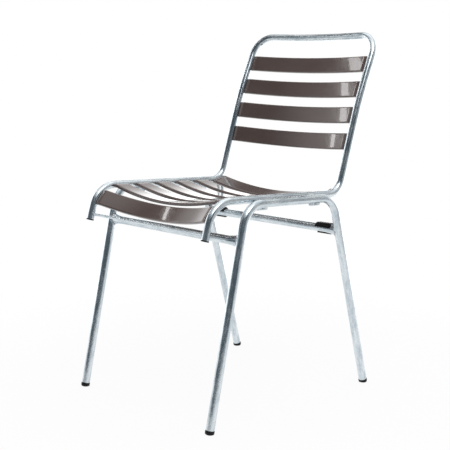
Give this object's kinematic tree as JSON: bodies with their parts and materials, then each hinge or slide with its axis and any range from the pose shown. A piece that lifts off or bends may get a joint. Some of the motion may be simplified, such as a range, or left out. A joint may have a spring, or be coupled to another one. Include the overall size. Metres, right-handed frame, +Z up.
{
  "type": "garden chair",
  "caption": "Stacking metal bistro chair: bent galvanised tube frame, dipped glossy slats across seat and back, black foot caps and stacking clips.",
  "frame": {"origin": "on the floor, under the middle of the chair's whole width and depth", "axes": "+Z up, -Y to the front, the way a sitter faces, +X to the right as seen from the front"},
  "size_m": [0.438, 0.564, 0.8065],
  "materials": {
    "galvanised_tube": "hot-dip galvanised, satin",
    "weld": "galvanised weld bead",
    "slat": "glossy glass-fibre moulding, taupe brown",
    "black_plastic": "satin black moulding",
    "screw": "plain stainless steel"
  },
  "bodies": {
    "root": {"left_leg_frame": "galvanised_tube", "right_leg_frame": "galvanised_tube", "front_cross_tube": "galvanised_tube", "rear_cross_tube": "galvanised_tube", "seat_back_tube": "galvanised_tube", "nose_tie_rod": "galvanised_tube", "spacer_plate_front_left": "galvanised_tube", "spacer_plate_front_right": "galvanised_tube", "spacer_plate_rear_left": "galvanised_tube", "spacer_plate_rear_right": "galvanised_tube", "seat_slat_lugs": "galvanised_tube", "back_slat_lugs": "galvanised_tube", "cross_tube_welds": "weld", "tie_rod_welds": "weld", "seat_slat_1": "slat", "seat_slat_2": "slat", "seat_slat_3": "slat", "seat_slat_4": "slat", "seat_slat_5": "slat", "seat_slat_6": "slat", "seat_slat_7": "slat", "back_slat_1": "slat", "back_slat_2": "slat", "back_slat_3": "slat", "back_slat_4": "slat", "foot_cap_front_left": "black_plastic", "foot_cap_front_right": "black_plastic", "foot_cap_rear_left": "black_plastic", "foot_cap_rear_right": "black_plastic", "nose_plug_left": "black_plastic", "nose_plug_right": "black_plastic", "stacking_clip_left": "black_plastic", "stacking_clip_right": "black_plastic", "seat_slat_screws": "screw", "back_slat_screws": "screw"}
  },
  "joints": []
}
